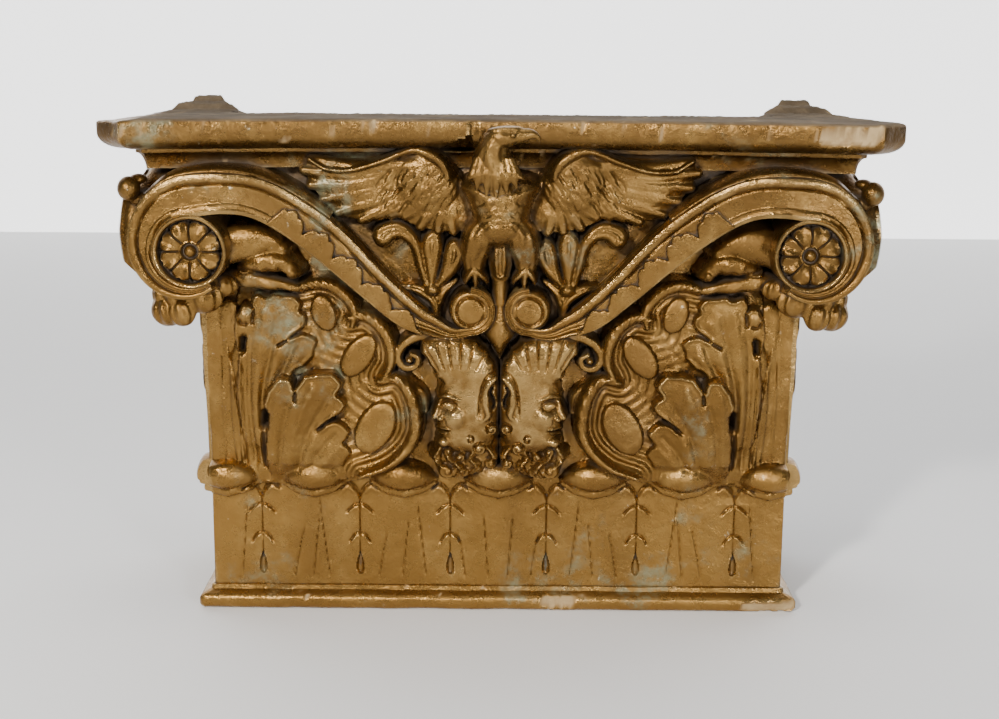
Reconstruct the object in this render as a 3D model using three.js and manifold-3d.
// A cast plaster pilaster capital with corner volutes, an eagle, acanthus leaves and two masks.
// It is one hollow, three-sided casting: a front wall, two side returns, open behind and below.
// Millimetres, +Z up. The front faces -Y, and the origin is under the middle of the bounding box.

import * as THREE from 'three';
import { mergeVertices } from 'three/addons/utils/BufferGeometryUtils.js';
import Module from 'manifold-3d';

// Driving sizes of the casting
const HEIGHT = 597; // to the bed
const BODY_HALF = 346.5; // half the width over the plain sides
const DEPTH = 354; // from the abacus corners to the broken rear ends
const CORNER_REACH = 104; // how far the abacus corners stand out from the body's faces
const MIDDLE_REACH = 53; // the same at the middle of a face, because its sides are concave
const WALL = 20; // the side returns
const FRONT_WALL = 34;
const TOP_RAIL = 64; // the front wall's thickness at the bed
const TOP_RAIL_DEPTH = 45;
const CRUSTS = [[131, 6], [210, 13]]; // ragged plaster on a return's top: from how far back, how high
const INNER_BREAK = 42; // what is broken off a return's inner top edge at its rear end
const INNER_BREAK_DEPTH = 40;
const CORNER_CUT = 31; // how much of each side the canted abacus corner takes
const ABACUS_HEIGHT = 58;
const BASE_REACH = 18;
const BASE_HEIGHT = 26.5;

// Places of the carving, seen on a face: u from its middle, v above the underside
const VOLUTE_U = 347.5;
const VOLUTE_V = 450;
const VOLUTE_LIFT = 97; // the volute's face above the body's face
const VOLUTE_EDGE = 78; // radius of the volute where its band comes in
const EYE_RING = 41; // radius of the ring round the rosette
const ROSETTE = 34;
const PETALS = 8;
const SCROLL_U = 34; // the small scrolls where the two bands meet
const SCROLL_V = 375;
const SCROLL_RING = 28;
const POD_U = [115, 223]; // pods beside the middle one
const POD_V = 167;
const POD_HALF_LENGTH = 39;
const POD_HALF_HEIGHT = 20;
const POD_LIFT = 23;
const DART_U = [58.6, 168.7, 288];
const DART_DEPTH = 3;
const DART_TOP = 150;
const WING_LIFT = 42;
const CHEST_LIFT = 78;
const MASK_LIFT = 46;
const LEAN = [[372, 0.4], [405, 0.6], [434, 0.88], [450, 0.93]]; // what a side's volute keeps of its lift, by height
const SEAT = 5; // how deep the carving's backs are sunk in the wall

const FACE_Y = -DEPTH / 2 + CORNER_REACH;
const REAR_Y = DEPTH / 2;
const REAR_U = REAR_Y - FACE_Y - BODY_HALF; // where a side breaks off, short of its own middle

const wasm = await Module();
wasm.setup();

const v2 = (u, v) => new THREE.Vector2(u, v);
const spline = (...points) => new THREE.SplineCurve(points.map(([u, v]) => v2(u, v)));

// A closed solid through rings of as many points each, with flat ends
function loft(rings) {
  const count = rings[0].length;
  const positions = rings.flat().flatMap((p) => [p.x, p.y, p.z]);
  const index = [];
  for (let r = 0; r + 1 < rings.length; r += 1) {
    for (let i = 0; i < count; i += 1) {
      const a = r * count + i;
      const b = r * count + ((i + 1) % count);
      index.push(a, b, b + count, a, b + count, a + count);
    }
  }
  const last = (rings.length - 1) * count;
  for (let i = 1; i + 1 < count; i += 1) {
    index.push(0, i + 1, i);
    index.push(last, last + i, last + i + 1);
  }
  const geometry = new THREE.BufferGeometry();
  geometry.setAttribute('position', new THREE.Float32BufferAttribute(positions, 3));
  geometry.setIndex(index);
  return geometry;
}

// A solid from a closed geometry, with its faces turned outwards whichever way it was drawn
function solid(geometry, place = new THREE.Matrix4()) {
  const plain = geometry.clone().applyMatrix4(place);
  plain.deleteAttribute('normal');
  plain.deleteAttribute('uv');
  const merged = mergeVertices(plain, 1e-3);
  const points = merged.attributes.position;
  const corners = [0, 1, 2].map(() => new THREE.Vector3());
  const triangles = [];
  let volume = 0;
  for (let i = 0; i < merged.index.count; i += 3) {
    const [a, b, c] = [0, 1, 2].map((k) => merged.index.getX(i + k));
    if (a !== b && b !== c && a !== c) {
      [a, b, c].forEach((n, k) => corners[k].fromBufferAttribute(points, n));
      volume += corners[0].dot(corners[1].clone().cross(corners[2]));
      triangles.push([a, b, c]);
    }
  }
  const facing = triangles.flatMap(([a, b, c]) => (volume > 0 ? [a, b, c] : [a, c, b]));
  const mesh = new wasm.Mesh({
    numProp: 3,
    vertProperties: new Float32Array(points.array),
    triVerts: new Uint32Array(facing),
  });
  return new wasm.Manifold(mesh);
}

const mirrored = (geometry) => geometry.clone().scale(-1, 1, 1);

// Frames of the three carved faces: u to the right, v up and w outwards, seen from outside
function face(uAxis, wAxis, x, y) {
  const frame = new THREE.Matrix4().makeBasis(uAxis, new THREE.Vector3(0, 0, 1), wAxis);
  return frame.setPosition(x, y, 0);
}
const SIDE_MIDDLE_Y = FACE_Y + BODY_HALF;
const X = new THREE.Vector3(1, 0, 0);
const Y = new THREE.Vector3(0, 1, 0);
const FRONT = face(X, Y.clone().negate(), 0, FACE_Y);
const LEFT = face(Y.clone().negate(), X.clone().negate(), -BODY_HALF, SIDE_MIDDLE_Y);
const RIGHT = face(Y, X, BODY_HALF, SIDE_MIDDLE_Y);

// Sections of the carving: across from -1 to 1, and up to the top at 1; -1 is the sunk back
const ROUNDED = [[-1, -1], [-0.6, 1], [0.6, 1], [1, -1]];
const CHANNEL = [[-1, -1], [-1, 1], [-0.65, 0.92], [0.65, 0.92], [1, 1], [1, -1]];

// A rib, lobe or feather that follows a path, with its half width and height along it
function blade(path, steps, half, top, section = ROUNDED) {
  const rings = [];
  for (let i = 0; i <= steps; i += 1) {
    const s = i / steps;
    const point = path.getPointAt(s);
    const along = path.getTangentAt(s);
    rings.push(section.map(([across, height]) => new THREE.Vector3(
      point.x - along.y * across * half(s),
      point.y + along.x * across * half(s),
      height < 0 ? -SEAT : height * top(s),
    )));
  }
  return loft(rings);
}

// A lobed leaf, domed from its outline to its rib; the outline runs round the tip from the stem
function leaf({ outline, rib, lobes, notch, edge, crown, valley, count }) {
  const levels = [[0, -SEAT], [1, -SEAT], [1, edge], [0.66, crown], [0, valley]];
  const rings = levels.map(([reach, height]) => {
    const ring = [];
    for (let i = 0; i < count; i += 1) {
      const p = i / count;
      const root = rib.getPointAt(1 - Math.abs(2 * p - 1));
      const scallop = Math.sqrt(Math.abs(Math.sin(Math.PI * lobes * p)));
      const rim = outline.getPointAt(p).lerp(root, notch * (1 - scallop));
      const point = root.clone().lerp(rim, reach);
      ring.push(new THREE.Vector3(point.x, point.y, height));
    }
    return ring;
  });
  return loft(rings);
}

// A rounded boss with its centre above the wall
function blob(u, v, w, ru, rv, rw, turn = 0, across = 6, high = 4) {
  const place = new THREE.Matrix4().makeRotationZ(turn).setPosition(u, v, w);
  return new THREE.SphereGeometry(1, across, high).scale(ru, rv, rw).applyMatrix4(place);
}

// How far the abacus stands out from a face, at u from the face's middle
const CANT_U = BODY_HALF + CORNER_REACH - CORNER_CUT;
const abacusReach = (u) => MIDDLE_REACH + (CORNER_REACH - MIDDLE_REACH) * (u / CANT_U) ** 2;

// The abacus's plan at an inset: left side, canted corner, concave front, corner, right side
function abacusRing(z, inset) {
  const end = CANT_U - inset * (Math.SQRT2 - 1);
  const front = [];
  const side = [];
  const steps = 8;
  for (let i = 0; i <= steps; i += 1) {
    const u = -end + (2 * end * i) / steps;
    front.push(new THREE.Vector3(u, FACE_Y - abacusReach(u) + inset, z));
    const along = -end + ((REAR_U + end) * i) / steps;
    const x = BODY_HALF + abacusReach(along) - inset;
    side.push(new THREE.Vector3(x, SIDE_MIDDLE_Y + along, z));
  }
  const left = side.map((p) => new THREE.Vector3(-p.x, p.y, z)).reverse();
  return [...left, ...front, ...side];
}

function abacus() {
  const low = HEIGHT - ABACUS_HEIGHT;
  const profile = [[low, 49], [low + 10, 46], [low + 19, 39], [low + 23, 39], [low + 23, 28],
    [low + 29, 11], [low + 40, 1], [HEIGHT, 0]];
  return loft(profile.map(([z, inset]) => abacusRing(z, inset)));
}

function rectangleRing(z, reach) {
  const half = BODY_HALF + reach;
  const corners = [[-half, REAR_Y], [-half, FACE_Y - reach], [half, FACE_Y - reach], [half, REAR_Y]];
  return corners.map(([x, y]) => new THREE.Vector3(x, y, z));
}

function body() {
  return loft([rectangleRing(0, 0), rectangleRing(HEIGHT - ABACUS_HEIGHT + 10, 0)]);
}

function baseMoulding() {
  const profile = [[0, BASE_REACH - 3], [4, BASE_REACH], [15, BASE_REACH], [20, BASE_REACH - 9],
    [21, BASE_REACH - 12], [BASE_HEIGHT, BASE_REACH - 14]];
  return loft(profile.map(([z, reach]) => rectangleRing(z, reach)));
}

// The hollow behind: the front wall is thin below and thickens to the top rail
function recess() {
  const inner = FACE_Y + FRONT_WALL;
  const rail = FACE_Y + TOP_RAIL;
  const railLow = HEIGHT - TOP_RAIL_DEPTH;
  const past = 20;
  const outline = [[inner, -past], [inner, railLow - (rail - inner)], [rail, railLow],
    [rail, HEIGHT + past], [REAR_Y + past, HEIGHT + past], [REAR_Y + past, -past]];
  const half = BODY_HALF - WALL;
  return loft([-half, half].map((x) => outline.map(([y, z]) => new THREE.Vector3(x, y, z))));
}

// The ragged crust of plaster that stands up on the top of a return's rear part
function crust(side, from, rise) {
  const past = 20;
  const start = FACE_Y + from;
  const middle = (start + REAR_Y) / 2;
  const outer = (y) => BODY_HALF + abacusReach(y - SIDE_MIDDLE_Y);
  const inner = BODY_HALF - WALL;
  const plan = (inset) => [[inner, start + inset], [outer(start) - inset, start + inset],
    [outer(middle) - inset, middle], [outer(REAR_Y) - inset, REAR_Y + past], [inner, REAR_Y + past]];
  const ring = (z, inset) => plan(inset).map(([x, y]) => new THREE.Vector3(side * x, y, z));
  return loft([ring(HEIGHT - SEAT, 1), ring(HEIGHT + rise, 3)]);
}

// What is broken off a return's inner top edge, more and more towards the rear
function innerBreakage(side) {
  const past = 40;
  const inner = BODY_HALF - WALL - 1;
  const section = (y, width) => [[inner, HEIGHT - INNER_BREAK_DEPTH], [inner, HEIGHT + past],
    [inner + width, HEIGHT + past], [inner + width, HEIGHT]]
    .map(([x, z]) => new THREE.Vector3(side * x, y, z));
  return loft([section(FACE_Y + TOP_RAIL, 2), section(REAR_Y + past, INNER_BREAK)]);
}

// A broken rear end of a side return: what is knocked off is a ragged strip, deepest near the bed
function breakage(side, bites) {
  const past = 30;
  const step = HEIGHT / (bites.length - 1);
  const edge = bites.map((bite, i) => [REAR_Y - bite, i * step]);
  const behind = REAR_Y + BODY_HALF;
  const outline = [[behind, -past], [REAR_Y, -past], ...edge, [REAR_Y, HEIGHT + past], [behind, HEIGHT + past]];
  const ends = [BODY_HALF - WALL - past, BODY_HALF + CORNER_REACH + past].map((x) => side * x);
  return loft(ends.map((x) => outline.map(([y, z]) => new THREE.Vector3(x, y, z))));
}

// The volute's band: a spiral round the eye that runs on down to the small scroll and round it
const bandLift = (u) => 45 + (VOLUTE_LIFT - 45) * Math.min(1, Math.max(0, (-SCROLL_U - u) / 276)) ** 1.25;

function bandRoute() {
  const stations = [];
  for (let degrees = 300; degrees >= 90; degrees -= 35) {
    const grow = (300 - degrees) / 200;
    const outer = EYE_RING + 3 + (VOLUTE_EDGE - EYE_RING - 3) * Math.max(0, grow) ** 1.2;
    const turn = THREE.MathUtils.degToRad(degrees);
    const middle = (outer + EYE_RING) / 2;
    const u = -VOLUTE_U + middle * Math.cos(turn);
    stations.push([u, VOLUTE_V + middle * Math.sin(turn), (outer - EYE_RING) / 2]);
  }
  const run = [[-310, 513, 20], [-249, 489, 23], [-181, 443, 21], [-143, 405, 18], [-106, 372, 16],
    [-70, 355, 10]];
  stations.push(...run);
  for (let degrees = -95; degrees <= 85; degrees += 60) {
    const turn = THREE.MathUtils.degToRad(degrees);
    const reach = SCROLL_RING - 4;
    stations.push([-SCROLL_U + reach * Math.cos(turn), SCROLL_V + reach * Math.sin(turn), 5]);
  }
  return stations;
}

function band() {
  const stations = bandRoute();
  const path = new THREE.SplineCurve(stations.map(([u, v]) => v2(u, v)));
  const rings = stations.map(([u, v, half], i) => {
    const along = path.getTangent(i / (stations.length - 1));
    const top = bandLift(u);
    return CHANNEL.map(([across, height]) => new THREE.Vector3(
      u - along.y * across * half,
      v + along.x * across * half,
      height < 0 ? -SEAT : top - (1 - height) * 75,
    ));
  });
  return loft(rings);
}

// The volute's eye: a drum with a raised ring, and a rosette of petals round a boss
function voluteEye(sides) {
  const profile = [[0, -SEAT], [EYE_RING, -SEAT], [EYE_RING, VOLUTE_LIFT], [EYE_RING - 4, VOLUTE_LIFT],
    [ROSETTE + 1, VOLUTE_LIFT - 12], [0, VOLUTE_LIFT - 12]];
  const drum = new THREE.LatheGeometry(profile.map(([r, w]) => v2(r, w)), sides);
  return drum.rotateX(Math.PI / 2).translate(-VOLUTE_U, VOLUTE_V, 0);
}

// A side's volute leans in below, so that from the front it stays behind the front one's edge
function leaning(geometry) {
  const points = geometry.attributes.position;
  for (let i = 0; i < points.count; i += 1) {
    const v = points.getY(i);
    const above = LEAN.findIndex(([height]) => height > v);
    let kept = above === 0 ? LEAN[0][1] : LEAN[LEAN.length - 1][1];
    if (above > 0) {
      const [[v0, low], [v1, high]] = [LEAN[above - 1], LEAN[above]];
      kept = THREE.MathUtils.mapLinear(v, v0, v1, low, high);
    }
    points.setZ(i, Math.min(points.getZ(i), points.getZ(i) * kept));
  }
  return geometry;
}

function rosette() {
  const levels = [[ROSETTE, 0.1, -20], [ROSETTE, 0.1, -2], [ROSETTE * 0.3, 0, -6], [6, 0, 1]];
  const rings = levels.map(([radius, dip, rise]) => {
    const ring = [];
    for (let i = 0; i < 2 * PETALS; i += 1) {
      const turn = (i / PETALS) * Math.PI;
      const reach = radius * (i % 2 ? 1 - 2 * dip : 1);
      const low = i % 2 && dip ? 3 : 0;
      ring.push(new THREE.Vector3(
        -VOLUTE_U + reach * Math.cos(turn),
        VOLUTE_V + reach * Math.sin(turn),
        VOLUTE_LIFT + rise - low,
      ));
    }
    return ring;
  });
  return loft(rings);
}

// The curled leaf that backs the band beside the volute, and the one that hangs below it
function voluteLeaves() {
  const high = blade(spline([-322, 458], [-282, 466], [-244, 446]), 3, () => 17, (s) => 74 - 14 * s);
  const low = blade(spline([-304, 420], [-268, 436], [-232, 420]), 3, () => 12, (s) => 58 - 10 * s);
  const hanging = blob(-344, 390, 44, 25, 22, 34, 0.4);
  return [high, low, hanging];
}

// The two acanthus leaves, one behind the other, with long flutes down to their stems
function acanthusLeaves(count, rise) {
  const tall = leaf({
    outline: spline([-318, 150], [-330, 250], [-320, 340], [-304, 372], [-276, 390], [-238, 390],
      [-222, 362], [-220, 318], [-246, 290], [-262, 230], [-290, 150]),
    rib: spline([-304, 160], [-306, 250], [-284, 340]),
    lobes: 7, notch: 0.22, edge: 14 * rise, crown: 26 * rise, valley: 18 * rise, count,
  });
  const short = leaf({
    outline: spline([-276, 150], [-280, 230], [-272, 284], [-246, 296], [-214, 300], [-186, 288],
      [-182, 250], [-180, 214], [-196, 182], [-222, 158], [-248, 150]),
    rib: spline([-262, 158], [-250, 210], [-222, 262]),
    lobes: 7, notch: 0.22, edge: 22 * rise, crown: 36 * rise, valley: 28 * rise, count,
  });
  return [tall, short];
}

// Three shell-like lobes, each a smooth boss under a rolled rim
function shellLobes(rise) {
  const lobe = (rim, boss, half) => [
    blade(rim, 4, (s) => half * (0.35 + 0.65 * Math.sin(Math.PI * Math.min(1, s * 1.15))), () => 34 * rise),
    blob(boss[0], boss[1], 8 * rise, boss[2], boss[3], 17 * rise, boss[4]),
  ];
  return [
    ...lobe(spline([-238, 398], [-205, 400], [-180, 382], [-186, 350], [-206, 316]), [-208, 368, 13, 24, -0.4], 12),
    ...lobe(spline([-182, 360], [-156, 358], [-136, 332], [-146, 302], [-178, 272]), [-168, 316, 17, 30, -0.7], 13),
    ...lobe(spline([-150, 282], [-124, 280], [-108, 250], [-118, 212], [-166, 182]), [-146, 229, 21, 33, -0.5], 14),
  ];
}

function pod(u) {
  const path = spline([u - POD_HALF_LENGTH, POD_V - 3], [u, POD_V], [u + POD_HALF_LENGTH, POD_V - 3]);
  const swell = (s) => Math.sin(Math.PI * s) ** 0.7;
  return blade(path, 4, (s) => POD_HALF_HEIGHT * swell(s), (s) => 3 + (POD_LIFT - 3) * swell(s));
}

// A palmette springing from the band: a curled lobe, two upright ones and a calyx
function palmette() {
  const swelling = (half) => (s) => half * (0.3 + 0.7 * Math.sin(Math.PI * Math.min(1, 0.2 + 0.7 * s)));
  return [
    blade(spline([-82, 396], [-98, 428], [-108, 458], [-126, 468], [-141, 456]), 4, swelling(12), () => 26),
    blade(spline([-80, 398], [-80, 430], [-75, 464]), 3, swelling(11), () => 27),
    blade(spline([-76, 400], [-60, 428], [-47, 452]), 3, swelling(10), () => 26),
    blade(spline([-76, 362], [-79, 384], [-112, 402]), 3, () => 6, () => 20),
    blade(spline([-76, 380], [-66, 404], [-50, 408]), 2, () => 5, () => 20),
  ];
}

// A spread wing: shoulder, flight feathers swept out to the tip, scalloped lower edge
function wing() {
  return leaf({
    outline: spline([-52, 500], [-62, 532], [-80, 562], [-104, 564], [-134, 549], [-170, 537],
      [-198, 537], [-216, 551], [-226, 538], [-216, 514], [-190, 488], [-156, 479], [-126, 486],
      [-98, 476], [-70, 468], [-50, 472]),
    rib: spline([-62, 500], [-110, 522], [-190, 524]),
    lobes: 14, notch: 0.1, edge: WING_LIFT - 24, crown: WING_LIFT, valley: WING_LIFT - 10, count: 24,
  });
}

// The eagle's body: chest, neck and head turned to its left, with legs down to the small scrolls
function eagle() {
  const neck = blade(spline([-4, 500], [-12, 540], [-8, 580]), 4, (s) => 27 - 9 * s, (s) => CHEST_LIFT + 12 * s);
  const beak = blade(spline([8, 588], [34, 588], [42, 578]), 3, (s) => 9 - 7 * s, () => CHEST_LIFT + 6);
  const legs = [-1, 1].map((side) => blade(spline([side * 24, 474], [side * 28, 440], [side * 30, 400]), 3,
    (s) => 15 - 4 * s, () => 56));
  return [
    blob(0, 500, 26, 44, 42, CHEST_LIFT - 26, 0, 8, 6),
    blob(0, 448, 18, 13, 34, 26),
    blob(-4, 583, 64, 22, 13, 24),
    neck,
    beak,
    ...legs,
  ];
}

// Where the bands meet: a ball in each small scroll and a wedge between them
function scrollBall() {
  return blob(-SCROLL_U, SCROLL_V, 18, 19, 19, 28);
}

function wedge() {
  const half = (s) => 11 + 9 * Math.sin(Math.PI * s) ** 3 - 10 * s ** 6;
  return blade(spline([0, 408], [0, 350], [0, 316]), 6, half, () => 42);
}

// A mask in profile, turned outwards, with a fluted headdress, an ear and a curled beard.
// Its face is a plain one on even thirds: brow, nose and chin.
function mask() {
  const u = -48;
  const top = 312;
  const third = 32;
  const skull = blob(u, top - 1.3 * third, 6, 30, 1.7 * third, MASK_LIFT - 6, 0, 8, 6);
  const brow = blob(u - 22, top - third, 20, 10, 7, 14);
  const nose = blade(spline([u - 24, top - 1.1 * third], [u - 37, top - 2 * third], [u - 26, top - 2.1 * third]),
    3, (s) => 4 + 3 * s, () => 30);
  const chin = blob(u - 20, top - 2.9 * third, 18, 11, 9, 14);
  const headdress = leaf({
    outline: spline([u - 22, 296], [u - 30, 326], [u - 12, 344], [u + 16, 338], [u + 40, 316], [u + 44, 290],
      [u + 24, 280]),
    rib: spline([u + 4, 290], [u + 6, 296], [u + 8, 302]),
    lobes: 6, notch: 0.14, edge: MASK_LIFT - 14, crown: MASK_LIFT, valley: MASK_LIFT - 4, count: 12,
  });
  const curl = blob(-105, 318, 12, 13, 13, 20);
  const curlStem = blade(spline([-60, 340], [-92, 342], [-112, 328]), 3, () => 7, () => 26);
  const ear = blob(-12, 274, 12, 9, 24, 26);
  const beard = leaf({
    outline: spline([u - 24, 222], [u - 28, 200], [u - 10, 178], [u + 14, 182], [u + 30, 206], [u + 20, 228]),
    rib: spline([u - 4, 226], [u - 2, 214], [u, 204]),
    lobes: 5, notch: 0.2, edge: 22, crown: 34, valley: 28, count: 10,
  });
  return [skull, brow, nose, chin, curl, curlStem, ear, headdress, beard];
}

// A hanging dart cut into the plain lower leaves: stem, two pairs of barbs and a drop
function dart(u) {
  const outline = new THREE.Shape();
  const right = [[1.5, DART_TOP], [1.5, 130], [17, 120], [2, 120], [1.5, 92], [14, 78], [2, 80], [6, 50]];
  const around = [...right, [0, 40], ...right.map(([x, z]) => [-x, z]).reverse()];
  outline.setFromPoints(around.map(([x, z]) => v2(u + x, z)));
  const cutter = new THREE.ExtrudeGeometry(outline, { depth: DART_DEPTH + SEAT, bevelEnabled: false });
  return cutter.translate(0, 0, -DART_DEPTH);
}

// What a face carries next to its corner, drawn for the left half. The sides are plainer, with lower leaves.
const SIDE_RISE = 0.55;
const leaves = (count, rise) => [...voluteLeaves(), ...acanthusLeaves(count, rise), ...shellLobes(rise),
  ...POD_U.map((u) => pod(-u))];
const frontHalf = [band(), voluteEye(12), rosette(), ...leaves(15, 1), scrollBall(), ...palmette(), wing(),
  ...mask()];
const sideBoss = blob(-VOLUTE_U, VOLUTE_V, VOLUTE_LIFT - 14, 30, 30, 14);
const side = [...[band(), voluteEye(8), sideBoss].map(leaning), ...leaves(9, SIDE_RISE)];
const middle = [wedge(), pod(0)];

let casting = solid(body()).add(solid(abacus())).add(solid(baseMoulding()));
const join = (geometries, frame) => {
  geometries.forEach((geometry) => {
    casting = casting.add(solid(geometry, frame));
  });
};
join([...frontHalf, ...frontHalf.map(mirrored), ...middle, ...eagle()], FRONT);
join(side.map(mirrored), LEFT);
join(side, RIGHT);

// At each front corner: a bud under the abacus, a pod round the edge and the hanging leaf's middle.
// On each return's top, the crust.
[-1, 1].forEach((hand) => {
  const corner = (out, z, radius, tall) => solid(blob(
    hand * (BODY_HALF + out), FACE_Y - out, z, radius, radius, tall, 0, 8, 5,
  ));
  casting = casting.add(corner(62, 515, 16, 21));
  casting = casting.add(corner(-12, POD_V, 26, POD_HALF_HEIGHT));
  casting = casting.add(corner(34, 382, 24, 30));
  CRUSTS.forEach(([from, rise]) => {
    casting = casting.add(solid(crust(hand, from, rise)));
  });
});

DART_U.forEach((u) => {
  [-u, u].forEach((place) => {
    casting = casting.subtract(solid(dart(place), FRONT));
  });
});

casting = casting.subtract(solid(recess()));
casting = casting.subtract(solid(innerBreakage(-1)));
casting = casting.subtract(solid(innerBreakage(1)));
casting = casting.subtract(solid(breakage(-1, [0, 14, 4, 20, 8, 26, 6])));
casting = casting.subtract(solid(breakage(1, [0, 8, 22, 6, 16, 30, 10])));

// The plaster fills the small closed voids between carved pieces, so only the outer skin is kept
const skins = casting.decompose();
const skin = skins.reduce((most, next) => (next.volume() > most.volume() ? next : most));

const result = skin.getMesh();
const shape = new THREE.BufferGeometry();
shape.setAttribute('position', new THREE.BufferAttribute(result.vertProperties, 3));
shape.setIndex(new THREE.BufferAttribute(result.triVerts, 1));

const capital = new THREE.Mesh(shape, new THREE.MeshStandardMaterial({
  color: 0x8a6a34,
  roughness: 0.42,
  metalness: 0.75,
}));
capital.name = 'capital';

const model = new THREE.Group();
model.add(capital);

export default model;
